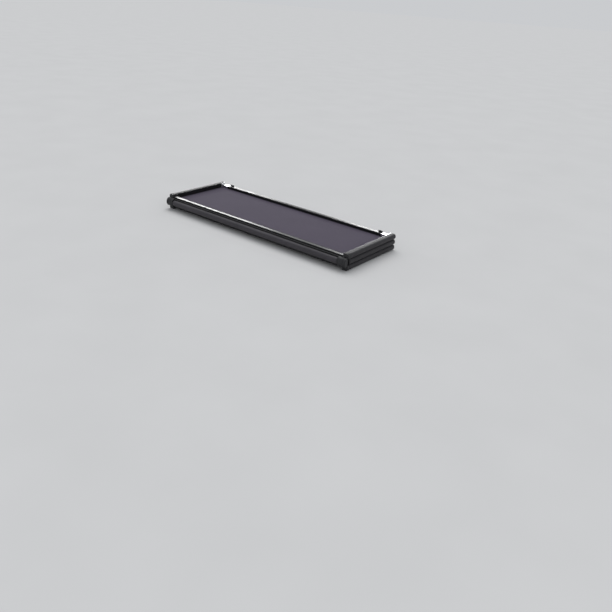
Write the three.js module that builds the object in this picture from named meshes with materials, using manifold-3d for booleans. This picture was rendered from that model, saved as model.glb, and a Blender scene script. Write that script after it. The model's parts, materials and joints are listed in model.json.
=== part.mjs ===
// Soft tri-fold tonneau cover, folded up at the cab end of a pickup bed.
// Millimetres. +X across the bed, +Y towards the cab, +Z up; origin at the middle of the stack's underside.
// The stack is the front panel, the rear panel on it, and the middle panel upside down on top.
// "fore" and "aft" name the edges of each panel as they lie when the cover is spread out.
import * as THREE from "three";
import { mergeVertices } from "three/addons/utils/BufferGeometryUtils.js";
import Module from "manifold-3d";

const wasm = await Module();
wasm.setup();

// ---- driving dimensions ----
const WIDTH = 1700; // across the bed, over the fabric
const PANEL_DEPTH = 560; // front and middle panel, along the bed
const REAR_DEPTH = 545; // rear panel, shorter so that its tail edge clears the double hinge
const FABRIC = 1.2;
const GAP = 0.3; // between pieces that touch
const RAIL_HEIGHT = 34;
const SIDE_RAIL_WIDTH = 40;
const CROSS_RAIL_WIDTH = 30;
const CROSS_RAIL_HEIGHT = 20; // against the fabric, short of the side rails' underside
const RAIL_CORNER_RADIUS = 2;
const WALL = 1.8; // extrusion wall
const EDGE_RADIUS = 15.5; // fabric round the outside of a side rail
const WRAP_RETURN = 36; // how far the fabric returns under a side rail
const STACK_GAP = 1.5;
const CORNER_LENGTH = 42;
const CORNER_FACE = 20; // length of a hinged corner that the fabric leaves bare
const CORNER_FACE_RADIUS = 12;
const POCKET_DEPTH = 7; // pockets between the ribs of a bare corner
const POCKET_SHARE = 0.72; // of the triangle between two ribs
const POCKET_RIM = [4, 1.5]; // rim round the pockets, across and along the bed
const PLATE_LENGTH = 100; // bright end plates of the middle panel's aft rail
const PLATE_LAP = 5; // of an end plate into its corner

const HALF = WIDTH / 2;
const PANEL_HEIGHT = RAIL_HEIGHT + 2 * (FABRIC + GAP);
const STACK_HEIGHT = 3 * PANEL_HEIGHT + 2 * STACK_GAP;
const RAIL_LOW = FABRIC + GAP;
const RAIL_HIGH = RAIL_LOW + RAIL_HEIGHT;
const CROSS_LOW = RAIL_HIGH - CROSS_RAIL_HEIGHT;
const RAIL_OUTER = HALF - FABRIC - GAP;
const RAIL_INNER = RAIL_OUTER - SIDE_RAIL_WIDTH;
const EDGE_INSET = 0.5; // rail faces stand back from a panel's edge

// Double hinge between the front and the middle panel.
const HINGE_Y = 6; // pin line outside the panel's edge
const HINGE_Z = 30; // pin line above the panel's underside
const PIN_RADIUS = 4;
const PIN_BORE = 4.6;
const EAR_RADIUS = 6.8;
const EAR_SPAN = [RAIL_INNER + GAP, RAIL_INNER + 10];
const EAR_ROOT = 10; // how far an ear reaches back into its corner
const EAR_LOW = 18;
const END_BLOCK_SPAN = [783, 848];
const ROLL_END = END_BLOCK_SPAN[0] - GAP;
const ROLL_REACH = 34; // how far the roll stands out of the stack
const ROLL_BACK = 10.4;
const ROLL_HALF_HEIGHT = 22;
const SPINE = [-9.9, -6.9]; // front and back of the plate inside the roll
const CAP_RADIUS = 5; // end blocks round the rods
const NOTCH_BACK = 13.8; // room in the end blocks for the ears to swing
const NOTCH_CLEAR = 7.6;

// Rubber seals, stow straps.
const SEAL_DEPTH = 6.3;
const SEAL_LOW = 8;
const SEAL_HIGH = 32;
const SEAL_HALF = 800;
const STRAP_X = HALF - 125;
const STRAP_WIDTH = 25;
const STRAP_THICKNESS = 1.6;
const STRAP_OFFSET = 1.4;
const BUCKLE_WIDTH = 34;
const BUCKLE_DEPTH = 4.8;
const BUCKLE_HEIGHT = 24;
const STRAP_TOP = 104;
const BUCKLE_WALL = 1.3;
const BUCKLE_RISE = 4; // of the buckle over the strap's end
const HINGE_STRIP_HALF = 700;
const HINGE_STRIP_INSET = 3; // from the cross rails' underside

// Rail clamps, stowed flat inside the frame: a pivot, an arm, a stud with a knob, and a sliding jaw.
const CLAMP_INSET = 110; // clamp's middle from its panel's outer edge
const PIVOT_X = RAIL_INNER - 16.5;
const CLAMP_Z = 20;
const ARM_END = PIVOT_X - 24;
const ARM_HALF_WIDTH = 12.5;
const ARM_HALF_HEIGHT = 6;
const JAW_FACE = PIVOT_X - 40;
const KNOB_FACE = PIVOT_X - 64;
const KNOB_LENGTH = 16;
const STUD_RADIUS = 4;
const STUD_BORE = 4.6;
const STUD_END = PIVOT_X - 12;
const PLATE_DEPTH = 6.5; // of the plate against the side rail
const BLOCK_ROOT = RAIL_INNER - 4; // where ears and blocks end inside the plate
const PLATE_HALF = 20;
const PLATE_LOW = 6;
const PLATE_HIGH = 34;
const BARREL_RADIUS = 6.5;
const TRUNNION_RADIUS = 3;
const TRUNNION_BORE = 3.6;
const TRUNNION_HALF = 18.5;
const EAR_GAP = 13; // from the clamp's middle to a base ear
const EAR_THICKNESS = 6;
const BASE_EAR_RADIUS = 7;
const LIP_THICKNESS = 6;
const LIP_HALF = 13;
const LIP_LOW = 3;
const LIP_HIGH = 30;
const BOSS_RADIUS = 9;
const BOSS_LENGTH = 14;
const KNOB_LOBES = 5;
const KNOB_RADIUS = 10.6;
const LOBE_HEIGHT = 1.4;
const KNOB_SIDES = 40;

function material(color, roughness, metalness = 0) {
  return new THREE.MeshStandardMaterial({ color, roughness, metalness });
}

const materials = {
  vinyl: () => material(0x2b2b2e, 0.75),
  blackRail: () => material(0x1c1c1e, 0.4, 0.6),
  aluminium: () => material(0xb9bcc0, 0.3, 0.9),
  plastic: () => material(0x17171a, 0.55),
  rubber: () => material(0x101012, 0.85),
  webbing: () => material(0x1a1a1c, 0.9),
  steel: () => material(0x8f9296, 0.35, 0.9),
};

// ---- outlines: lists of Vector2 ----
const point = (u, v) => new THREE.Vector2(u, v);

function arc(u, v, radiusU, radiusV, fromDegrees, toDegrees, steps) {
  return Array.from({ length: steps + 1 }, (_, i) => {
    const a = THREE.MathUtils.degToRad(fromDegrees + ((toDegrees - fromDegrees) * i) / steps);
    return point(u + radiusU * Math.cos(a), v + radiusV * Math.sin(a));
  });
}

const circle = (u, v, radius, sides = 16) => arc(u, v, radius, radius, 0, 360 - 360 / sides, sides - 1);

// Rectangle with a radius at each corner: low-low, high-low, high-high, low-high.
function rectangle(lowU, lowV, highU, highV, radii = [0, 0, 0, 0]) {
  const signs = [[1, 1], [-1, 1], [-1, -1], [1, -1]];
  return signs.flatMap(([su, sv], i) => {
    const u = su > 0 ? lowU : highU;
    const v = sv > 0 ? lowV : highV;
    const r = radii[i];
    return r > 0 ? arc(u + su * r, v + sv * r, r, r, 180 + 90 * i, 270 + 90 * i, 5) : [point(u, v)];
  });
}

// ---- solids ----
const X = new THREE.Vector3(1, 0, 0);
const Y = new THREE.Vector3(0, 1, 0);
const Z = new THREE.Vector3(0, 0, 1);
const BASES = { x: [Y, Z, X], y: [Z, X, Y], z: [X, Y, Z] };

// An outline in (y, z), (z, x) or (x, y) pushed along x, y or z.
function extrude(outline, axis, from, to, holes = []) {
  const shape = new THREE.Shape(outline);
  shape.holes = holes.map((hole) => new THREE.Path(hole));
  const geometry = new THREE.ExtrudeGeometry(shape, { depth: to - from, bevelEnabled: false });
  geometry.translate(0, 0, from);
  return geometry.applyMatrix4(new THREE.Matrix4().makeBasis(...BASES[axis]));
}

const box = (x0, x1, y0, y1, z0, z1) => extrude(rectangle(x0, y0, x1, y1), "z", z0, z1);

function solid(geometry) {
  const bare = geometry.clone();
  bare.deleteAttribute("normal");
  bare.deleteAttribute("uv");
  const merged = mergeVertices(bare, 1e-4);
  const vertProperties = merged.attributes.position.array;
  const triVerts = new Uint32Array(merged.index.array);
  return new wasm.Manifold(new wasm.Mesh({ numProp: 3, vertProperties, triVerts }));
}

function geometryOf(manifold) {
  const mesh = manifold.getMesh();
  const geometry = new THREE.BufferGeometry();
  geometry.setAttribute("position", new THREE.BufferAttribute(new Float32Array(mesh.vertProperties), 3));
  geometry.setIndex(new THREE.BufferAttribute(new Uint32Array(mesh.triVerts), 1));
  geometry.computeVertexNormals();
  return geometry;
}

function combine(joined, cut = []) {
  const whole = joined.map(solid).reduce((a, b) => a.add(b));
  return geometryOf(cut.map(solid).reduce((a, b) => a.subtract(b), whole));
}

function piece(name, geometry, look) {
  const mesh = new THREE.Mesh(geometry, materials[look]());
  mesh.name = name;
  return mesh;
}

// ---- panels ----
const OUTER_RADIUS = EDGE_RADIUS - FABRIC - GAP;
const SIDE_RADII = [RAIL_CORNER_RADIUS, RAIL_CORNER_RADIUS, OUTER_RADIUS, OUTER_RADIUS];

function sideRailOutline(inset) {
  const radii = SIDE_RADII.map((r) => Math.max(r - inset, 0.4));
  return rectangle(RAIL_LOW + inset, RAIL_INNER + inset, RAIL_HIGH - inset, RAIL_OUTER - inset, radii);
}

function sideRail(aft, fore) {
  const from = aft + CORNER_LENGTH + GAP;
  const to = fore - CORNER_LENGTH - GAP;
  return extrude(sideRailOutline(0), "y", from, to, [sideRailOutline(WALL)]);
}

function crossRail(low, halfLength) {
  const ring = (inset) => {
    const radii = Array(4).fill(Math.max(RAIL_CORNER_RADIUS - inset, 0.3));
    const high = low + CROSS_RAIL_WIDTH;
    return rectangle(low + inset, CROSS_LOW + inset, high - inset, RAIL_HIGH - inset, radii);
  };
  return extrude(ring(0), "x", -halfLength, halfLength, [ring(WALL)]);
}

// Fabric round the outside of a side rail, from the top sheet's edge to its return under the rail.
function edgeWrap(aft, fore) {
  const high = PANEL_HEIGHT - EDGE_RADIUS;
  const centre = HALF - EDGE_RADIUS;
  const inner = EDGE_RADIUS - FABRIC;
  const outline = [
    ...arc(high, centre, EDGE_RADIUS, EDGE_RADIUS, 0, 90, 5),
    ...arc(EDGE_RADIUS, centre, EDGE_RADIUS, EDGE_RADIUS, 90, 180, 5),
    point(0, HALF - WRAP_RETURN),
    point(FABRIC, HALF - WRAP_RETURN),
    ...arc(EDGE_RADIUS, centre, inner, inner, 180, 90, 5),
    ...arc(high, centre, inner, inner, 90, 0, 5),
  ];
  return extrude(outline, "y", aft + GAP, fore - GAP);
}

// Bare end of a hinged corner, flush with the fabric, with crossed ribs between pockets in its underside.
function cornerFace(edge, out) {
  const near = edge - out * EDGE_INSET;
  const far = edge - out * CORNER_FACE;
  const [low, high] = [near, far].sort((a, b) => a - b);
  const radii = [RAIL_CORNER_RADIUS, RAIL_CORNER_RADIUS, CORNER_FACE_RADIUS, CORNER_FACE_RADIUS];
  const block = extrude(rectangle(0, RAIL_INNER, RAIL_HIGH, HALF, radii), "y", low, high);
  const centre = point((RAIL_INNER + HALF) / 2, (low + high) / 2);
  const corners = rectangle(
    RAIL_INNER + POCKET_RIM[0],
    low + POCKET_RIM[1],
    HALF - POCKET_RIM[0],
    high - POCKET_RIM[1],
  );
  const pockets = corners.map((a, i) => {
    const triangle = [a, corners[(i + 1) % 4], centre];
    const middle = triangle.reduce((sum, p) => sum.clone().add(p)).divideScalar(3);
    const outline = triangle.map((p) => middle.clone().lerp(p, POCKET_SHARE));
    return extrude(outline, "z", -1, POCKET_DEPTH);
  });
  return { block, pockets };
}

// Hinge ear on a corner: edge is the panel's edge, and out is the way it faces.
function hingeEar(edge, out) {
  const at = edge + out * HINGE_Y;
  const disc = arc(0, HINGE_Z, EAR_RADIUS, EAR_RADIUS, 55, 300, 12).map((p) => point(at - out * p.x, p.y));
  const root = edge - out * EAR_ROOT;
  const outline = [
    point(root, EAR_LOW),
    point(root, RAIL_HIGH),
    point(edge, RAIL_HIGH),
    ...disc,
    point(edge, EAR_LOW),
  ];
  return extrude(outline, "x", EAR_SPAN[0], EAR_SPAN[1], [circle(at, HINGE_Z, PIN_BORE, 12)]);
}

function corner(edge, out, { hinged = false, plate = false }) {
  const span = [edge - out * EDGE_INSET, edge - out * CORNER_LENGTH].sort((a, b) => a - b);
  const joined = [extrude(sideRailOutline(0), "y", span[0], span[1])];
  const cut = [];
  if (hinged) {
    const { block, pockets } = cornerFace(edge, out);
    joined.push(block, hingeEar(edge, out));
    cut.push(...pockets);
  }
  if (plate) {
    const face = edge - out * EDGE_INSET;
    const back = face - out * CROSS_RAIL_WIDTH;
    const [low, high] = [face, back].sort((a, b) => a - b);
    const start = RAIL_OUTER - PLATE_LENGTH;
    joined.push(box(start, RAIL_INNER + PLATE_LAP, low, high, CROSS_LOW, RAIL_HIGH));
  }
  return combine(joined, cut);
}

function eachSide(group, build) {
  for (const side of ["left", "right"]) {
    const half = new THREE.Group();
    half.scale.x = side === "left" ? -1 : 1;
    half.add(...build(side));
    group.add(half);
  }
}

// One framed panel from aft to fore, underside at z 0, fabric on top.
function panel(name, aft, fore, { hingedEdge = null, platedEdge = null }) {
  const group = new THREE.Group();
  const low = PANEL_HEIGHT - FABRIC;
  const sheetHalf = HALF - EDGE_RADIUS - GAP;
  const sheet = box(-sheetHalf, sheetHalf, aft + GAP, fore - GAP, low, PANEL_HEIGHT);
  group.add(piece(`${name}_fabric`, sheet, "vinyl"));
  const edges = [
    { edge: "aft", at: aft, out: -1 },
    { edge: "fore", at: fore, out: 1 },
  ];
  for (const { edge, at, out } of edges) {
    const plated = edge === platedEdge;
    const end = (plated ? RAIL_OUTER - PLATE_LENGTH : RAIL_INNER) - GAP;
    const start = out > 0 ? at - EDGE_INSET - CROSS_RAIL_WIDTH : at + EDGE_INSET;
    group.add(piece(`${name}_cross_rail_${edge}`, crossRail(start, end), "blackRail"));
  }
  const wrapAft = hingedEdge === "aft" ? aft + CORNER_FACE : aft;
  const wrapFore = hingedEdge === "fore" ? fore - CORNER_FACE : fore;
  eachSide(group, (side) => [
    piece(`${name}_side_rail_${side}`, sideRail(aft, fore), "blackRail"),
    piece(`${name}_edge_wrap_${side}`, edgeWrap(wrapAft, wrapFore), "vinyl"),
    ...edges.map(({ edge, at, out }) => {
      const plate = edge === platedEdge;
      const shape = corner(at, out, { hinged: edge === hingedEdge, plate });
      return piece(`${name}_corner_${edge}_${side}`, shape, plate ? "aluminium" : "plastic");
    }),
  ]);
  return group;
}

// ---- rail clamps, drawn for the right-hand side with the clamp's middle at y ----
const roundBar = (y, radius, from, to) => extrude(circle(y, CLAMP_Z, radius, 12), "x", from, to);

const studBore = (y) => roundBar(y, STUD_BORE, ARM_END - 1, STUD_END + 3);

function clampPlate(y) {
  const back = RAIL_INNER - GAP;
  return box(RAIL_INNER - PLATE_DEPTH, back, y - PLATE_HALF, y + PLATE_HALF, PLATE_LOW, PLATE_HIGH);
}

function armBlock(y, end) {
  const low = CLAMP_Z - ARM_HALF_HEIGHT;
  const high = CLAMP_Z + ARM_HALF_HEIGHT;
  return box(ARM_END, end, y - ARM_HALF_WIDTH, y + ARM_HALF_WIDTH, low, high);
}

function clampBase(y) {
  const radius = BASE_EAR_RADIUS;
  const outline = [
    point(CLAMP_Z - radius, BLOCK_ROOT),
    ...arc(CLAMP_Z, PIVOT_X, radius, radius, -180, 0, 10),
    point(CLAMP_Z + radius, BLOCK_ROOT),
  ];
  const bore = [circle(CLAMP_Z, PIVOT_X, TRUNNION_BORE, 12)];
  const ears = [y - EAR_GAP - EAR_THICKNESS, y + EAR_GAP].map((low) =>
    extrude(outline, "y", low, low + EAR_THICKNESS, bore),
  );
  return combine([clampPlate(y), ...ears]);
}

function clampArm(y) {
  const barrelOutline = circle(CLAMP_Z, PIVOT_X, BARREL_RADIUS);
  const barrel = extrude(barrelOutline, "y", y - ARM_HALF_WIDTH, y + ARM_HALF_WIDTH);
  const trunnionOutline = circle(CLAMP_Z, PIVOT_X, TRUNNION_RADIUS, 12);
  const trunnions = extrude(trunnionOutline, "y", y - TRUNNION_HALF, y + TRUNNION_HALF);
  return combine([barrel, trunnions, armBlock(y, PIVOT_X - 2)], [studBore(y)]);
}

const fixedClampBody = (y) => combine([clampPlate(y), armBlock(y, BLOCK_ROOT)], [studBore(y)]);

function clampJaw(y) {
  const lip = box(JAW_FACE - LIP_THICKNESS, JAW_FACE, y - LIP_HALF, y + LIP_HALF, LIP_LOW, LIP_HIGH);
  const bossEnd = JAW_FACE - BOSS_LENGTH;
  const boss = extrude(circle(y, CLAMP_Z, BOSS_RADIUS), "x", bossEnd, JAW_FACE - LIP_THICKNESS + 1);
  return combine([lip, boss], [roundBar(y, STUD_BORE, bossEnd - 1, JAW_FACE + 1)]);
}

function clampKnob(y) {
  const grip = Array.from({ length: KNOB_SIDES }, (_, i) => {
    const a = (i / KNOB_SIDES) * 2 * Math.PI;
    const r = KNOB_RADIUS + LOBE_HEIGHT * Math.cos(KNOB_LOBES * a);
    return point(y + r * Math.cos(a), CLAMP_Z + r * Math.sin(a));
  });
  const stud = roundBar(y, STUD_RADIUS, KNOB_FACE - 4, STUD_END);
  return combine([extrude(grip, "x", KNOB_FACE - KNOB_LENGTH, KNOB_FACE), stud]);
}

function clamps(group, end, y, swings) {
  eachSide(group, (side) => {
    const name = (what) => `${end}_clamp_${what}_${side}`;
    const body = swings
      ? [piece(name("base"), clampBase(y), "aluminium"), piece(name("arm"), clampArm(y), "plastic")]
      : [piece(name("body"), fixedClampBody(y), "plastic")];
    return [
      ...body,
      piece(name("jaw"), clampJaw(y), "aluminium"),
      piece(name("knob"), clampKnob(y), "plastic"),
    ];
  });
}

// ---- double hinge: a fabric-covered roll on a spine, an end block at each side, and two rods ----
function hingeLink() {
  const group = new THREE.Group();
  const middle = STACK_HEIGHT / 2;
  const low = HINGE_Z;
  const high = STACK_HEIGHT - HINGE_Z;
  const rodEnd = END_BLOCK_SPAN[1] - 2;
  const rod = (z) => extrude(circle(-HINGE_Y, z, PIN_RADIUS, 12), "x", -rodEnd, rodEnd);
  group.add(piece("hinge_rod_front", rod(low), "steel"), piece("hinge_rod_middle", rod(high), "steel"));
  const spine = box(-ROLL_END, ROLL_END, ...SPINE, low + CAP_RADIUS, high - CAP_RADIUS);
  group.add(piece("hinge_spine", spine, "aluminium"));
  const rollDepth = ROLL_REACH - ROLL_BACK;
  const roll = arc(-ROLL_BACK, middle, rollDepth, ROLL_HALF_HEIGHT, 90, 270, 16);
  group.add(piece("hinge_roll", extrude(roll, "x", -ROLL_END, ROLL_END), "vinyl"));
  const blockReach = ROLL_REACH - HINGE_Y;
  const blockHalf = high - middle + CAP_RADIUS;
  const outline = [
    ...arc(-HINGE_Y, low, CAP_RADIUS, CAP_RADIUS, -90, 0, 4),
    ...arc(-HINGE_Y, high, CAP_RADIUS, CAP_RADIUS, 0, 90, 4),
    ...arc(-HINGE_Y, middle, blockReach, blockHalf, 90, 270, 18).slice(1, -1),
  ];
  const bores = [low, high].map((z) => circle(-HINGE_Y, z, PIN_BORE, 12));
  const notch = (z0, z1) => box(EAR_SPAN[0] - 0.5, EAR_SPAN[1] + 0.5, -NOTCH_BACK, 1, z0, z1);
  const notches = [notch(0, low + NOTCH_CLEAR), notch(high - NOTCH_CLEAR, STACK_HEIGHT)];
  eachSide(group, (side) => {
    const block = combine([extrude(outline, "x", ...END_BLOCK_SPAN, bores)], notches);
    return [piece(`hinge_end_block_${side}`, block, "plastic")];
  });
  return group;
}

// Rubber strip with rounded lips on a panel's outer edge.
function seal(name, edge, out) {
  const lips = [0, 2, 2, 0];
  const strip = rectangle(0, SEAL_LOW, SEAL_DEPTH, SEAL_HIGH, lips);
  const outline = strip.map((p) => point(edge + out * p.x, p.y));
  return piece(name, extrude(outline, "x", -SEAL_HALF, SEAL_HALF), "rubber");
}

// Straps that hold the folded stack, on the front panel's cab edge.
function stowStraps(group) {
  const near = PANEL_DEPTH + STRAP_OFFSET;
  const far = near + STRAP_THICKNESS;
  const half = STRAP_WIDTH / 2;
  const buckleHalf = BUCKLE_WIDTH / 2;
  const buckleBack = near - BUCKLE_WALL - GAP;
  const buckleFront = buckleBack + BUCKLE_DEPTH;
  const buckleTop = STRAP_TOP + BUCKLE_RISE;
  eachSide(group, (side) => {
    const strap = box(STRAP_X - half, STRAP_X + half, near, far, SEAL_HIGH + 1, STRAP_TOP);
    const outer = rectangle(STRAP_X - buckleHalf, buckleBack, STRAP_X + buckleHalf, buckleFront);
    const slot = rectangle(STRAP_X - half - GAP, near - GAP, STRAP_X + half + GAP, far + GAP);
    const buckle = extrude(outer, "z", buckleTop - BUCKLE_HEIGHT, buckleTop, [slot]);
    return [
      piece(`stow_strap_${side}`, strap, "webbing"),
      piece(`stow_buckle_${side}`, buckle, "plastic"),
    ];
  });
}

// ---- assembly ----
const group = new THREE.Group();
group.position.y = -(PANEL_DEPTH + SEAL_DEPTH - ROLL_REACH) / 2;

const front = panel("front", 0, PANEL_DEPTH, { hingedEdge: "aft" });
clamps(front, "front", PANEL_DEPTH - CLAMP_INSET, true);
front.add(seal("bulkhead_seal", PANEL_DEPTH, 1));
stowStraps(front);

const middle = panel("middle", -PANEL_DEPTH, 0, { hingedEdge: "fore", platedEdge: "aft" });
middle.position.z = STACK_HEIGHT;
middle.rotation.x = Math.PI;

const rear = panel("rear", -REAR_DEPTH, 0, {});
rear.position.set(0, PANEL_DEPTH, PANEL_HEIGHT + STACK_GAP);
clamps(rear, "rear", -REAR_DEPTH + CLAMP_INSET, false);
rear.add(seal("tail_seal", -REAR_DEPTH, -1));

// Fabric hinge between the middle panel's aft edge and the rear panel's fore edge.
const stripInset = CROSS_LOW + HINGE_STRIP_INSET;
const stripLow = PANEL_HEIGHT + STACK_GAP + stripInset;
const stripHigh = STACK_HEIGHT - stripInset;
const stripBack = PANEL_DEPTH + FABRIC;
const strip = box(-HINGE_STRIP_HALF, HINGE_STRIP_HALF, PANEL_DEPTH, stripBack, stripLow, stripHigh);

group.add(front, rear, middle, hingeLink(), piece("rear_hinge_strip", strip, "vinyl"));

export default group;
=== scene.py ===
"""Looks for a soft tri-fold tonneau cover, folded into a stack of three panels. Metres, in the frame."""
import json
import math

import bmesh
import bpy
from mathutils import Matrix, Vector, noise


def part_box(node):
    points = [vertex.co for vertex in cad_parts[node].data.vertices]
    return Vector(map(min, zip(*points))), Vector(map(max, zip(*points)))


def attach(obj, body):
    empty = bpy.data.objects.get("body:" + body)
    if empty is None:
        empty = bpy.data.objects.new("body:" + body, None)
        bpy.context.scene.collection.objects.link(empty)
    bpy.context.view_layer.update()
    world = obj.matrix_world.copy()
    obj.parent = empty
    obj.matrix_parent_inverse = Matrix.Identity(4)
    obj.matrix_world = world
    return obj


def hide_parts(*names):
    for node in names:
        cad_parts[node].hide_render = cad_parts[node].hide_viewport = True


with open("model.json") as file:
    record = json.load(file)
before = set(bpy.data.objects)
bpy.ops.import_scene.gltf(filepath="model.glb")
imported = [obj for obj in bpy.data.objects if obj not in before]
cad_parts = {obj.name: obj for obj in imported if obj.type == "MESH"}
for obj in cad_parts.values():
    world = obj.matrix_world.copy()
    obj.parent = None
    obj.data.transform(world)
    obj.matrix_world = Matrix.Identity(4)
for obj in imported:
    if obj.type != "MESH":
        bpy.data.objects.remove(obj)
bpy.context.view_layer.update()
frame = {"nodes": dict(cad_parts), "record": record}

SIDES = ("left", "right")
PANELS = ("front", "rear", "middle")
BODY_OF_PANEL = {"front": "front_panel", "rear": "middle_panel", "middle": "middle_panel"}

FABRIC = 0.0012
EDGE_RADIUS = 0.0155  # of the cloth round the outside of a side rail
CLOTH_INSET = 0.0003  # the cloth's outer face lies this far inside the CAD solid's
# Bright metal hinge parts drawn in the black rail paint: painted shade, for the shade behind the hinge roll.
PAINTED_SHADE_NODES = ("hinge_rod_front", "hinge_rod_middle", "hinge_spine")
THREAD_PITCH = 0.0016  # between the threads of a coated cloth
BACKING_PITCH = 0.0014
WEBBING_RIB_PITCH = 0.0022

STITCH_PITCH = 0.0075
STITCH_LENGTH = 0.0045
STITCH_RADIUS = 0.00045
STITCH_INSET = 0.004  # from a cloth's edge to its row of stitches
HEM_STITCH_INSET = 0.005

ROLL_SQUARENESS = (0.82, 0.92)  # exponents of the roll's section, below 1 for a fuller shape
ROLL_STATIONS = 260
RIVET_RADIUS = 0.0032
RIVET_HEIGHT = 0.0011
RAIL_RIVETS = (0.014, 0.034)  # from a cross rail's end
PLATE_RIVETS = (0.012, 0.045)  # from a bright plate's inner end
BEAD_RADIUS = 0.0022
BEAD_HEIGHT = 0.0011
BEAD_INSET = (0.006, 0.005)  # from the cross rail's end and outer edge
RIB_WIDTH = 0.0026
RIB_HEIGHT = 0.0011

CAMERA_PLACE = (2.898, -3.398, 1.580)
CAMERA_YAW, CAMERA_PITCH, CAMERA_ROLL = -38.44, -25.13, 3.58  # degrees
CAMERA_LENS = 37.67
CAMERA_SHIFT = (0.0237, -0.0224)
SKY_COLOR = (0.95, 0.97, 1.0, 1)
SKY_STRENGTH = 0.62
SUN_ENERGY = 1.35
SUN_ANGLE = 50
SUN_DIRECTION = (1.0, -1.1, -2.2)
FLOOR_HALF = 60


# ---- materials ----
class Look:
    """A principled material and short calls for its nodes."""

    def __init__(self, name, roughness, metallic=0.0, **sockets):
        self.material = bpy.data.materials.new(name)
        self.material.use_nodes = True
        self.nodes = self.material.node_tree.nodes
        self.links = self.material.node_tree.links
        self.shader = self.nodes["Principled BSDF"]
        self.shader.inputs["Roughness"].default_value = roughness
        self.shader.inputs["Metallic"].default_value = metallic
        for socket, value in sockets.items():
            self.shader.inputs[socket.replace("_", " ")].default_value = value
        self.coordinates = self.nodes.new("ShaderNodeTexCoord").outputs["Object"]

    def scaled(self, x, y, z):
        node = self.nodes.new("ShaderNodeMapping")
        node.inputs["Scale"].default_value = (x, y, z)
        self.links.new(self.coordinates, node.inputs["Vector"])
        return node.outputs["Vector"]

    def noise(self, scale, detail=3.0, vector=None):
        node = self.nodes.new("ShaderNodeTexNoise")
        node.inputs["Scale"].default_value = scale
        node.inputs["Detail"].default_value = detail
        self.links.new(vector or self.coordinates, node.inputs["Vector"])
        return node.outputs["Fac"]

    def cells(self, scale):
        node = self.nodes.new("ShaderNodeTexVoronoi")
        node.inputs["Scale"].default_value = scale
        self.links.new(self.coordinates, node.inputs["Vector"])
        return node.outputs["Distance"]

    def bands(self, direction, pitch):
        """Sine bands of that pitch in metres; the wave node turns 20 radians for each unit of scale."""
        node = self.nodes.new("ShaderNodeTexWave")
        node.bands_direction = direction
        node.inputs["Scale"].default_value = 2 * math.pi / (20 * pitch)
        self.links.new(self.coordinates, node.inputs["Vector"])
        return node.outputs["Fac"]

    def math(self, operation, a, b):
        node = self.nodes.new("ShaderNodeMath")
        node.operation = operation
        for socket, value in zip(node.inputs, (a, b)):
            if isinstance(value, (int, float)):
                socket.default_value = value
            else:
                self.links.new(value, socket)
        return node.outputs["Value"]

    def ramp(self, factor, low, high, low_color, high_color):
        node = self.nodes.new("ShaderNodeValToRGB")
        first, last = node.color_ramp.elements
        first.position, last.position = low, high
        first.color, last.color = (*low_color, 1), (*high_color, 1)
        self.links.new(factor, node.inputs["Fac"])
        return node.outputs["Color"]

    def color(self, source):
        self.links.new(source, self.shader.inputs["Base Color"])

    def roughness(self, factor, low, high):
        node = self.nodes.new("ShaderNodeMapRange")
        node.inputs["To Min"].default_value = low
        node.inputs["To Max"].default_value = high
        self.links.new(factor, node.inputs["Value"])
        self.links.new(node.outputs["Result"], self.shader.inputs["Roughness"])

    def bump(self, height, distance, strength=1.0):
        node = self.nodes.new("ShaderNodeBump")
        node.inputs["Distance"].default_value = distance
        node.inputs["Strength"].default_value = strength
        self.links.new(height, node.inputs["Height"])
        self.links.new(node.outputs["Normal"], self.shader.inputs["Normal"])


def tinted(color, share):
    return tuple(channel * share for channel in color)


def coated_cloth(name, color):
    """Grained vinyl on cloth: pebbled skin, a faint woven ground and dusty wear."""
    look = Look(name, 0.6, Sheen_Weight=0.1, Sheen_Roughness=0.5, Specular_IOR_Level=0.32)
    weave = look.math("MULTIPLY", look.bands("X", THREAD_PITCH), look.bands("Y", THREAD_PITCH))
    grain = look.math("ADD", look.cells(900.0), look.math("MULTIPLY", weave, 0.5))
    look.bump(grain, 0.0003, 0.6)
    wear = look.math("ADD", look.noise(7.0, 5.0), look.math("MULTIPLY", look.noise(260.0), 0.25))
    look.color(look.ramp(wear, 0.35, 0.85, tinted(color, 0.8), tinted(color, 1.3)))
    look.roughness(look.noise(30.0, 4.0), 0.50, 0.70)
    return look.material


def backing_cloth(name, color):
    """Plain-woven underside of the coated cloth, with a faint mottle and slubs along the weave, and faint
    painted shade between the threads.
    """
    look = Look(name, 0.92, Sheen_Weight=0.08, Sheen_Roughness=0.6, Specular_IOR_Level=0.1)
    warp = look.bands("X", BACKING_PITCH)
    weft = look.bands("Y", BACKING_PITCH)
    threads = look.math("MAXIMUM", warp, weft)
    look.bump(threads, 0.00035, 0.7)
    slubs = look.noise(40.0, 6.0, look.scaled(1.0, 14.0, 1.0))
    patches = look.math("MULTIPLY", look.noise(5.0, 4.0), 0.7)
    mottle = look.math("ADD", patches, look.math("MULTIPLY", slubs, 0.3))
    # painted shade: the threads' height lightens their crests a little and darkens the gaps between them; the
    # mottle is random tone
    tone = look.math("ADD", mottle, look.math("MULTIPLY", threads, 0.12))
    look.color(look.ramp(tone, 0.3, 0.8, tinted(color, 0.93), tinted(color, 1.07)))
    return look.material


def powder_coat(name, color):
    """Painted aluminium with a fine orange peel."""
    look = Look(name, 0.35, Specular_IOR_Level=0.35)
    look.bump(look.noise(1400.0, 2.0), 0.00012, 0.4)
    look.color(look.ramp(look.noise(90.0, 6.0), 0.4, 0.8, color, tinted(color, 1.7)))
    look.roughness(look.noise(12.0, 5.0), 0.26, 0.46)
    return look.material


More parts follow.
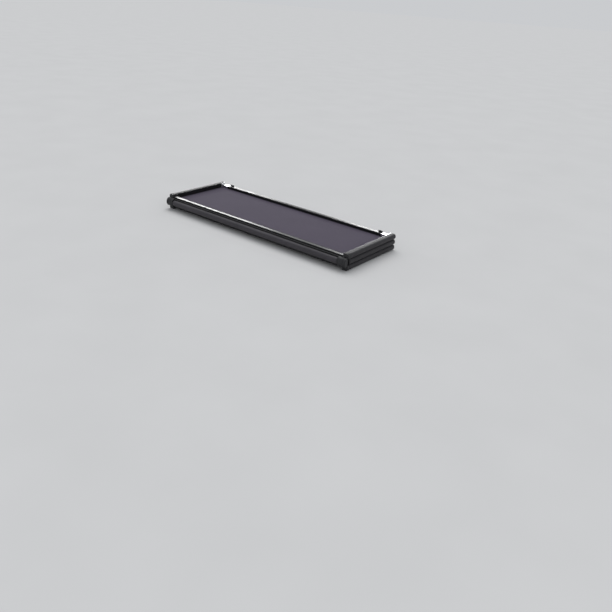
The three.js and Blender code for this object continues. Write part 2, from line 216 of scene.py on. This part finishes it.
def brushed(name, color, roughness):
    """Metal with fine lines along x and faint dull patches."""
    look = Look(name, roughness, 1.0, Anisotropic=0.5)
    lines = look.noise(1.0, 3.0, look.scaled(6.0, 900.0, 900.0))
    look.bump(lines, 0.00005, 0.5)
    look.color(look.ramp(look.noise(35.0, 5.0), 0.3, 0.8, tinted(color, 0.8), color))
    look.roughness(lines, roughness * 0.8, roughness * 1.3)
    return look.material


def moulded(name, color, grain=700.0, low=0.42, high=0.62):
    """Grained plastic or rubber; low and high are its roughness."""
    look = Look(name, low, Specular_IOR_Level=0.45)
    look.bump(look.math("ADD", look.cells(grain), look.noise(grain / 3, 3.0)), 0.00018, 0.5)
    look.color(look.ramp(look.noise(50.0, 5.0), 0.35, 0.85, color, tinted(color, 1.6)))
    look.roughness(look.noise(18.0, 4.0), low, high)
    return look.material


def webbing_cloth(name, color):
    """Woven strap: ribs across, crossed by fine warp threads, with painted shade in its colour: darker in the
    grooves, lighter on the crests.
    """
    look = Look(name, 0.85, Sheen_Weight=0.3)
    ribs = look.bands("Z", WEBBING_RIB_PITCH)
    warp = look.bands("X", THREAD_PITCH)
    height = look.math("ADD", ribs, look.math("MULTIPLY", warp, 0.6))
    look.bump(height, 0.0004, 0.8)
    # painted shade: the colour follows the weave's height, dark in the grooves and light on the rib crests
    look.color(look.ramp(height, 0.3, 1.0, tinted(color, 0.6), tinted(color, 1.4)))
    return look.material


COVER_CLOTH = coated_cloth("cover_cloth", (0.018, 0.017, 0.020))
EDGE_CLOTH = coated_cloth("edge_cloth", (0.042, 0.038, 0.045))
BACKING = backing_cloth("backing_cloth", (0.068, 0.056, 0.084))
RAIL = powder_coat("rail_powder_coat", (0.006, 0.006, 0.007))
ALUMINIUM = brushed("bare_aluminium", (0.80, 0.81, 0.82), 0.28)
STEEL = brushed("zinc_plated_steel", (0.52, 0.53, 0.55), 0.32)
PLASTIC = moulded("black_plastic", (0.014, 0.014, 0.016))
RUBBER = moulded("seal_rubber", (0.010, 0.010, 0.011), 500.0, 0.7, 0.85)
WEBBING = webbing_cloth("strap_webbing", (0.020, 0.020, 0.022))
THREAD = coated_cloth("sewing_thread", (0.040, 0.039, 0.043))


# ---- meshes ----
def new_object(name, vertices, faces, materials, face_materials=None):
    """A smooth mesh with its faces turned outwards; face_materials holds a material index for each face."""
    mesh = bpy.data.meshes.new(name)
    mesh.from_pydata(vertices, [], faces)
    for material in materials:
        mesh.materials.append(material)
    if face_materials:
        mesh.polygons.foreach_set("material_index", face_materials)
    mesh.polygons.foreach_set("use_smooth", [True] * len(mesh.polygons))
    work = bmesh.new()
    work.from_mesh(mesh)
    bmesh.ops.recalc_face_normals(work, faces=work.faces)
    work.to_mesh(mesh)
    work.free()
    obj = bpy.data.objects.new(name, mesh)
    bpy.context.scene.collection.objects.link(obj)
    return obj


def double_sheet(name, outer, inner, materials):
    """Closed cloth of an outer and an inner grid of points, joined at the rim, with a material for each."""
    rows, columns = len(outer), len(outer[0])
    size = rows * columns

    def at(layer, r, c):
        return layer * size + r * columns + c

    faces, kinds = [], []
    for r in range(rows - 1):
        for c in range(columns - 1):
            corners = ((r, c), (r, c + 1), (r + 1, c + 1), (r + 1, c))
            for layer in (0, 1):
                faces.append([at(layer, *corner) for corner in corners])
                kinds.append(layer)
    rim = [(0, c) for c in range(columns)] + [(r, columns - 1) for r in range(1, rows)]
    rim += [(rows - 1, c) for c in range(columns - 2, -1, -1)] + [(r, 0) for r in range(rows - 2, 0, -1)]
    for here, there in zip(rim, rim[1:] + rim[:1]):
        faces.append([at(0, *here), at(0, *there), at(1, *there), at(1, *here)])
        kinds.append(0)
    points = [p for grid in (outer, inner) for row in grid for p in row]
    return new_object(name, points, faces, materials, kinds)


def loft(name, rings, material):
    """Closed skin over equal rings of points, with a fan at each end."""
    count = len(rings[0])
    points = [p for ring in rings for p in ring]
    faces = []
    for k in range(len(rings) - 1):
        for i in range(count):
            j = (i + 1) % count
            low, high = k * count, (k + 1) * count
            faces.append([low + i, low + j, high + j, high + i])
    for ring, start in ((rings[0], 0), (rings[-1], (len(rings) - 1) * count)):
        points.append(sum(ring, Vector()) / count)
        faces += [[len(points) - 1, start + i, start + (i + 1) % count] for i in range(count)]
    return new_object(name, points, faces, [material])


def capsule(start, end, radius, sides=6):
    """Vertices and faces of one stitch: a short rod with tapered ends."""
    axis = (end - start).normalized()
    side = axis.orthogonal().normalized()
    other = axis.cross(side)
    stations = ((0.0, 0.35), (0.2, 1.0), (0.8, 1.0), (1.0, 0.35))
    points = []
    for share, width in stations:
        for i in range(sides):
            a = 2 * math.pi * i / sides
            spoke = side * math.cos(a) + other * math.sin(a)
            points.append(start.lerp(end, share) + spoke * radius * width)
    faces = []
    for k in range(len(stations) - 1):
        for i in range(sides):
            low, high, j = k * sides, (k + 1) * sides, (i + 1) % sides
            faces.append([low + i, low + j, high + j, high + i])
    faces.append(list(range(sides)))
    faces.append(list(range((len(stations) - 1) * sides, len(stations) * sides)))
    return points, faces


def stitching(name, lines, body):
    """Rows of stitches, each along a line from one point to another, on one body."""
    points, faces = [], []
    for start, end in lines:
        length = (end - start).length
        axis = (end - start) / length
        for i in range(int(length / STITCH_PITCH)):
            low = start + axis * (i * STITCH_PITCH + (STITCH_PITCH - STITCH_LENGTH) / 2)
            stitch, around = capsule(low, low + axis * STITCH_LENGTH, STITCH_RADIUS)
            faces += [[v + len(points) for v in face] for face in around]
            points += stitch
    obj = new_object(name, points, faces, [THREAD])
    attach(obj, body)


def domes(name, places, radius, height, material, body):
    """Low domes, each at a place and along a normal."""
    points, faces = [], []
    sides, steps = 12, 4
    for centre, normal in places:
        side = normal.orthogonal().normalized()
        other = normal.cross(side)
        base = len(points)
        for k in range(steps):
            lift = math.radians(90) * k / steps
            for i in range(sides):
                a = 2 * math.pi * i / sides
                spoke = (side * math.cos(a) + other * math.sin(a)) * radius * math.cos(lift)
                points.append(centre + spoke + normal * height * math.sin(lift))
        points.append(centre + normal * height)
        for k in range(steps - 1):
            for i in range(sides):
                j = (i + 1) % sides
                low, high = base + k * sides, base + (k + 1) * sides
                faces.append([low + i, low + j, high + j, high + i])
        top = base + (steps - 1) * sides
        faces += [[len(points) - 1, top + i, top + (i + 1) % sides] for i in range(sides)]
        faces.append([base + i for i in range(sides)])
    obj = new_object(name, points, faces, [material])
    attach(obj, body)


def spread(low, high, steps):
    return [low + (high - low) * i / steps for i in range(steps + 1)]


# ---- camera, light, floor ----
def add_camera():
    """From beyond the stack's near right corner, looking down on it, with a slight roll."""
    yaw, pitch, roll = (math.radians(v) for v in (CAMERA_YAW, CAMERA_PITCH, CAMERA_ROLL))
    level_reach = math.cos(pitch)
    forward = Vector((math.sin(yaw) * level_reach, math.cos(yaw) * level_reach, math.sin(pitch)))
    level = forward.cross(Vector((0, 0, 1))).normalized()
    upright = level.cross(forward)
    right = level * math.cos(roll) + upright * math.sin(roll)
    up = right.cross(forward)
    data = bpy.data.cameras.new("camera")
    data.lens = CAMERA_LENS
    data.shift_x, data.shift_y = CAMERA_SHIFT
    camera = bpy.data.objects.new("camera", data)
    rotation = Matrix((right, up, -forward)).transposed()
    camera.matrix_world = Matrix.Translation(CAMERA_PLACE) @ rotation.to_4x4()
    bpy.context.scene.collection.objects.link(camera)
    bpy.context.scene.camera = camera


def add_light(name, place, target, width, height, power):
    """A soft box that lights only glossy surfaces."""
    data = bpy.data.lights.new(name, "AREA")
    data.shape = "RECTANGLE"
    data.size, data.size_y, data.energy = width, height, power
    light = bpy.data.objects.new(name, data)
    light.location = place
    light.rotation_euler = (Vector(target) - Vector(place)).to_track_quat("-Z", "Y").to_euler()
    light.visible_diffuse = False
    bpy.context.scene.collection.objects.link(light)


def add_studio():
    """A wide soft sun and an even sky; two soft boxes show only as highlights on the rails and the plates."""
    scene = bpy.context.scene
    scene.view_settings.view_transform = "Standard"
    world = bpy.data.worlds.new("studio")
    world.use_nodes = True
    sky = world.node_tree.nodes["Background"]
    sky.inputs["Color"].default_value = SKY_COLOR
    sky.inputs["Strength"].default_value = SKY_STRENGTH
    scene.world = world
    sun = bpy.data.lights.new("sun", "SUN")
    sun.energy, sun.angle = SUN_ENERGY, math.radians(SUN_ANGLE)
    lamp = bpy.data.objects.new("sun", sun)
    lamp.rotation_euler = Vector(SUN_DIRECTION).to_track_quat("-Z", "Y").to_euler()
    scene.collection.objects.link(lamp)
    add_light("left_box", (-3.9, 2.7, 1.45), (-0.4, -0.2, 0.1), 2.2, 0.9, 95)
    add_light("plate_box", (-1.3, 3.6, 1.35), (0.8, 0.27, 0.1), 0.7, 0.6, 30)
    corners = [(x * FLOOR_HALF, y * FLOOR_HALF, 0) for x, y in ((-1, -1), (1, -1), (1, 1), (-1, 1))]
    floor = new_object("floor", corners, [(0, 1, 2, 3)], [])
    look = Look("floor_paper", 1.0, Specular_IOR_Level=0.0)
    look.color(look.ramp(look.noise(2.0), 0.3, 0.7, (0.625, 0.625, 0.625), (0.645, 0.645, 0.645)))
    floor.data.materials.append(look.material)


# ---- soft pieces ----
def cover_section(half, low, high, face_up, inset):
    """Points (x, z, nx, nz) across a panel's cloth, from one hem, round both side rails, to the other hem."""
    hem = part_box("front_edge_wrap_right")[0][0]
    radius = EDGE_RADIUS - inset
    centre = half - EDGE_RADIUS
    quarter = [math.radians(9 * i) for i in range(11)]
    under = [(x, 0.0, -1.0) for x in spread(hem, centre, 5)[:-1]]
    lower = [(centre + radius * math.sin(a), math.sin(a), -math.cos(a)) for a in quarter]
    upper = [(centre + radius * math.cos(a), math.cos(a), math.sin(a)) for a in quarter]
    right = [(x, low + inset, nx, nz) for x, nx, nz in under]
    right += [(x, low + EDGE_RADIUS + radius * nz, nx, nz) for x, nx, nz in lower]
    right += [(x, high - EDGE_RADIUS + radius * nz, nx, nz) for x, nx, nz in upper]
    top = [(x, high - inset, 0.0, 1.0) for x in spread(centre, -centre, 80)[1:-1]]
    section = right + top + [(-x, z, -nx, nz) for x, z, nx, nz in reversed(right)]
    if face_up:
        return section
    return [(x, low + high - z, nx, -nz) for x, z, nx, nz in section]


def cloth_wave(x, y, seed, edge):
    """How far stretched cloth stands proud: a slow slackness, and puckers beside the side rails."""
    slow = noise.noise(Vector((x * 3.1, y * 5.3, seed)))
    beside = math.exp(-max(edge - abs(x), 0.0) / 0.05)
    pucker = noise.noise(Vector((x * 9.0, y * 34.0, seed + 7.0)))
    return 0.00022 * slow + 0.00045 * beside * pucker


def panel_cover(panel, seed):
    """One cloth stretched over a panel's top and round its side rails."""
    nodes = [f"{panel}_fabric", *(f"{panel}_edge_wrap_{side}" for side in SIDES)]
    sheet_box, wrap_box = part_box(nodes[0]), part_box(nodes[2])
    low, high, half = wrap_box[0][2], wrap_box[1][2], wrap_box[1][0]
    face_up = sheet_box[1][2] > (low + high) / 2
    stations = spread(wrap_box[0][1], wrap_box[1][1], 72)
    edge = half - EDGE_RADIUS
    grids = []
    for inset in (0.0, FABRIC):
        section = cover_section(half, low, high, face_up, inset)
        grid = []
        for y in stations:
            row = []
            for x, z, nx, nz in section:
                proud = cloth_wave(x, y, seed, edge) - CLOTH_INSET
                row.append(Vector((x + nx * proud, y, z + nz * proud)))
            grid.append(row)
        grids.append(grid)
    cover = double_sheet(f"{panel}_cover_cloth", grids[0], grids[1], [COVER_CLOTH, BACKING])
    section = cover_section(half, low, high, face_up, 0.0)
    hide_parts(*nodes)
    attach(cover, BODY_OF_PANEL[panel])


def end_flap(panel):
    """The stretch of a panel's cloth that runs on over the cross rail between the two bare corners."""
    sheet_box, wrap_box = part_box(f"{panel}_fabric"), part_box(f"{panel}_edge_wrap_right")
    if wrap_box[0][1] - sheet_box[0][1] < EDGE_RADIUS:
        return
    face_up = sheet_box[1][2] > (wrap_box[0][2] + wrap_box[1][2]) / 2
    rows = spread(sheet_box[0][1], wrap_box[0][1] - CLOTH_INSET, 4)
    columns = spread(sheet_box[0][0], sheet_box[1][0], 80)
    if face_up:
        faces = (sheet_box[1][2] - CLOTH_INSET, sheet_box[0][2])
    else:
        faces = (sheet_box[0][2] + CLOTH_INSET, sheet_box[1][2])
    grids = [[[Vector((x, y, z)) for x in columns] for y in rows] for z in faces]
    flap = double_sheet(f"{panel}_end_cloth", grids[0], grids[1], [COVER_CLOTH, BACKING])
    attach(flap, BODY_OF_PANEL[panel])


def hem_stitching(panel):
    """A row of stitches along each side's hem, on the face that shows under the rail."""
    lines = []
    for side in SIDES:
        low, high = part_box(f"{panel}_edge_wrap_{side}")
        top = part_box(f"{panel}_fabric")[1][2]
        face_up = top > (low[2] + high[2]) / 2
        z = low[2] if face_up else high[2]
        z += STITCH_RADIUS * (0.6 if face_up else -0.6)
        x = low[0] + HEM_STITCH_INSET if side == "right" else high[0] - HEM_STITCH_INSET
        lines.append((Vector((x, low[1] + STITCH_INSET, z)), Vector((x, high[1] - STITCH_INSET, z))))
    stitching(f"{panel}_hem_stitches", lines, BODY_OF_PANEL[panel])


def hinge_roll():
    """Fabric over foam between the end blocks: a fat D bulging away from the stack, drawn in at its ends."""
    low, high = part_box("hinge_roll")
    back, reach = high[1], high[1] - low[1]
    middle, half_height = (low[2] + high[2]) / 2, (high[2] - low[2]) / 2
    around = [math.radians(v) for v in spread(90, 270, 32)]
    rings = []
    for x in spread(low[0], high[0], ROLL_STATIONS):
        end = min(x - low[0], high[0] - x)
        full = 1.0 - 0.10 * math.exp(-end / 0.006)
        ring = []
        for a in around:
            ripple = noise.noise(Vector((x * 7.0, math.degrees(a) * 0.03, 3.0)))
            crease = noise.noise(Vector((x * 55.0, math.degrees(a) * 0.02, 9.0))) * math.exp(-end / 0.05)
            tuck = 0.0008 * ripple + 0.0009 * crease - 0.0008
            depth = math.copysign(abs(math.cos(a)) ** ROLL_SQUARENESS[0], math.cos(a))
            rise = math.copysign(abs(math.sin(a)) ** ROLL_SQUARENESS[1], math.sin(a))
            y = back + (reach + tuck) * full * depth
            z = middle + (half_height + tuck) * full * rise
            ring.append(Vector((x, y, z)))
        ring += [Vector((x, back, z)) for z in spread(ring[-1].z, ring[0].z, 6)[1:-1]]
        rings.append(ring)
    roll = loft("hinge_roll_cloth", rings, EDGE_CLOTH)
    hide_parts("hinge_roll")
    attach(roll, "hinge_link")


def hinge_top_strip():
    """Cloth that closes the double hinge from above when the cover is spread out; upright at rest."""
    spine_low, spine_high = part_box("hinge_spine")
    rod_low, rod_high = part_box("hinge_rod_front"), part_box("hinge_rod_middle")
    low = (rod_low[0][2] + rod_low[1][2]) / 2
    high = (rod_high[0][2] + rod_high[1][2]) / 2
    centre = (rod_low[0][1] + rod_low[1][1]) / 2
    outer_y = centre + 0.0052
    inner_y = outer_y - FABRIC * 0.7
    columns = spread(spine_low[0] + 0.002, spine_high[0] - 0.002, 120)
    rows = spread(low, high, 10)

    def place(x, y, z):
        wave = 1 + noise.noise(Vector((x * 9, z * 40, 2.0)))
        return Vector((x, y - CLOTH_INSET * wave, z))

    def grid(y):
        return [[place(x, y, z) for x in columns] for z in rows]

    strip = double_sheet("hinge_top_cloth", grid(outer_y), grid(inner_y), [COVER_CLOTH, BACKING])
    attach(strip, "hinge_link")


def rear_hinge_cloth():
    """Cloth hinge at the cab edge: a strip that bellies out a little between its two sewn edges."""
    low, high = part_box("rear_hinge_strip")
    columns = spread(low[0], high[0], 110)
    rows = spread(low[2], high[2], 14)
    middle, half = (low[2] + high[2]) / 2, (high[2] - low[2]) / 2

    def place(x, y, z):
        belly = 0.0016 * (1 - ((z - middle) / half) ** 2)
        wave = 0.7 + 0.6 * noise.noise(Vector((x * 11, z * 9, 4.0)))
        return Vector((x, y + belly * wave, z))

    def grid(y):
        return [[place(x, y, z) for x in columns] for z in rows]

    strip = double_sheet("rear_hinge_cloth", grid(high[1]), grid(low[1]), [COVER_CLOTH, BACKING])
    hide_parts("rear_hinge_strip")
    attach(strip, "middle_panel")
    y = high[1] + STITCH_RADIUS * 0.7
    heights = (low[2] + STITCH_INSET, high[2] - STITCH_INSET)
    lines = [(Vector((low[0], y, z)), Vector((high[0], y, z))) for z in heights]
    stitching("rear_hinge_stitches", lines, "middle_panel")


def stow_strap(side):
    """Flat webbing with rounded selvedges and faint ribs, and a crossed box of stitches at its foot."""
    node = f"stow_strap_{side}"
    low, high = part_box(node)
    half, centre = (high[0] - low[0]) / 2, (high[0] + low[0]) / 2
    thick = high[1] - low[1]
    middle_y = (low[1] + high[1]) / 2
    sides = 24
    rings = []
    for z in spread(low[2], high[2], 60):
        ring = []
        for i in range(sides):
            a = 2 * math.pi * i / sides
            x = centre + half * math.copysign(abs(math.cos(a)) ** 0.3, math.cos(a))
            rib = 0.00008 * math.cos(2 * math.pi * z / 0.0045)
            y = middle_y + (thick / 2 + rib) * math.copysign(abs(math.sin(a)) ** 0.6, math.sin(a))
            ring.append(Vector((x, y, z)))
        rings.append(ring)
    strap = loft(f"stow_webbing_{side}", rings, WEBBING)
    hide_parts(node)
    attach(strap, "front_panel")
    face = high[1] + STITCH_RADIUS * 0.5
    across = half - STITCH_INSET
    box_low, box_high = low[2] + STITCH_INSET, low[2] + 0.022
    corners = [(-across, box_low), (across, box_low), (across, box_high), (-across, box_high)]
    ends = [Vector((centre + x, face, z)) for x, z in corners]
    lines = list(zip(ends, ends[1:] + ends[:1])) + [(ends[0], ends[2]), (ends[1], ends[3])]
    stitching(f"stow_strap_stitches_{side}", lines, "front_panel")


# ---- hard details ----
def bevel(node, width, segments=2):
    modifier = frame["nodes"][node].modifiers.new("edges", "BEVEL")
    modifier.width, modifier.segments = width, segments
    modifier.limit_method = "ANGLE"
    modifier.angle_limit = math.radians(35)
    modifier.harden_normals = False


def dress_nodes():
    """Each carried-over CAD node gets its material, and the small radius its edges really have; the hinge
    rods and spine, bright metal, get the black rail paint as painted shade.
    """
    slots = {
        "black_rail": (RAIL, 0.0012),
        "bright_aluminium": (ALUMINIUM, 0.0007),
        "steel": (STEEL, 0.0004),
        "rubber_seal": (RUBBER, 0.0008),
        "webbing": (WEBBING, 0.0),
        "black_plastic": (PLASTIC, 0.0009),
        "vinyl_cover": (COVER_CLOTH, 0.0),
        "vinyl_edge": (EDGE_CLOTH, 0.0),
    }
    for row in frame["record"]["subparts"]:
        node = frame["nodes"][row["node"]]
        material, width = slots[row["material_slot"]]
        # painted shade: the hinge rods and spine are drawn black instead of in their steel and aluminium
        if row["node"] in PAINTED_SHADE_NODES:
            material = RAIL
        node.data.materials.clear()
        node.data.materials.append(material)
        if width:
            bevel(row["node"], width)


def end_block_ribs(side):
    """Four raised ribs round the bulge of a hinge end block."""
    low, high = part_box(f"hinge_end_block_{side}")
    sign = 1 if side == "right" else -1
    depth, middle = high[1] - low[1], (low[2] + high[2]) / 2
    half_height = (high[2] - low[2]) / 2
    inner, outer = (low[0], high[0]) if sign > 0 else (high[0], low[0])
    arcs = []
    for share in (0.06, 0.35, 0.65, 0.94):
        centre_x = inner + (outer - inner) * share
        points = []
        for a in (math.radians(v) for v in spread(96, 264, 26)):
            out = Vector((0, math.cos(a), math.sin(a)))
            y = high[1] - 0.005 + (depth - 0.005) * out.y
            points.append((Vector((centre_x, y, middle + half_height * out.z)), out))
        arcs.append(points)
    for k, points in enumerate(arcs):
        rings = []
        for place, out in points:
            ring = []
            for x, lift in ((-1, -1.0), (-1, 0.6), (-0.6, 1.0), (0.6, 1.0), (1, 0.6), (1, -1.0)):
                ring.append(place + Vector((x * RIB_WIDTH / 2, 0, 0)) + out * RIB_HEIGHT * lift)
            rings.append(ring)
        rib = loft(f"end_block_rib_{side}_{k}", rings, PLASTIC)
        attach(rib, "hinge_link")


def rivets():
    """Rivet heads on the frame side of the front and middle panels: a pair near each end of a cross rail."""
    body_places = {"front_panel": [], "middle_panel": []}
    for panel in ("front", "middle"):
        face_up = panel == "front"
        for edge in ("aft", "fore"):
            for side in SIDES:
                low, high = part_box(f"{panel}_cross_rail_{edge}")
                corner_low, corner_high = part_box(f"{panel}_corner_{edge}_{side}")
                plate = corner_high[0] - corner_low[0] > 0.06
                sign = 1 if side == "right" else -1
                inner = min(abs(corner_low[0]), abs(corner_high[0]))
                z = low[2] if face_up else high[2]
                normal = Vector((0, 0, -1 if face_up else 1))
                xs = [inner + v for v in PLATE_RIVETS] if plate else [high[0] - v for v in RAIL_RIVETS]
                for x in xs:
                    place = Vector((sign * x, (low[1] + high[1]) / 2, z))
                    body_places[BODY_OF_PANEL[panel]].append((place, normal))
    for body, places in body_places.items():
        domes(f"rivets_{body}", places, RIVET_RADIUS, RIVET_HEIGHT, STEEL, body)


def retainer_beads():
    """Bead that holds the cloth in its groove, along the outer edge of the middle panel's cross rails."""
    sides = 10
    for edge in ("aft", "fore"):
        low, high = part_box(f"middle_cross_rail_{edge}")
        y = low[1] + BEAD_INSET[1] if edge == "aft" else high[1] - BEAD_INSET[1]
        rings = []
        for x in spread(low[0] + BEAD_INSET[0], high[0] - BEAD_INSET[0], 90):
            ring = []
            for i in range(sides):
                a = 2 * math.pi * i / sides
                ring.append(Vector((x, y + BEAD_RADIUS * math.cos(a), high[2] + BEAD_HEIGHT * math.sin(a))))
            rings.append(ring)
        bead = loft(f"retainer_bead_{edge}", rings, RUBBER)
        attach(bead, "middle_panel")


def main():
    add_camera()
    add_studio()
    dress_nodes()
    for seed, panel in enumerate(PANELS):
        panel_cover(panel, 11.0 * (seed + 1))
        end_flap(panel)
        hem_stitching(panel)
    hinge_roll()
    hinge_top_strip()
    rear_hinge_cloth()
    for side in SIDES:
        stow_strap(side)
        end_block_ribs(side)
    rivets()
    retainer_beads()


main()
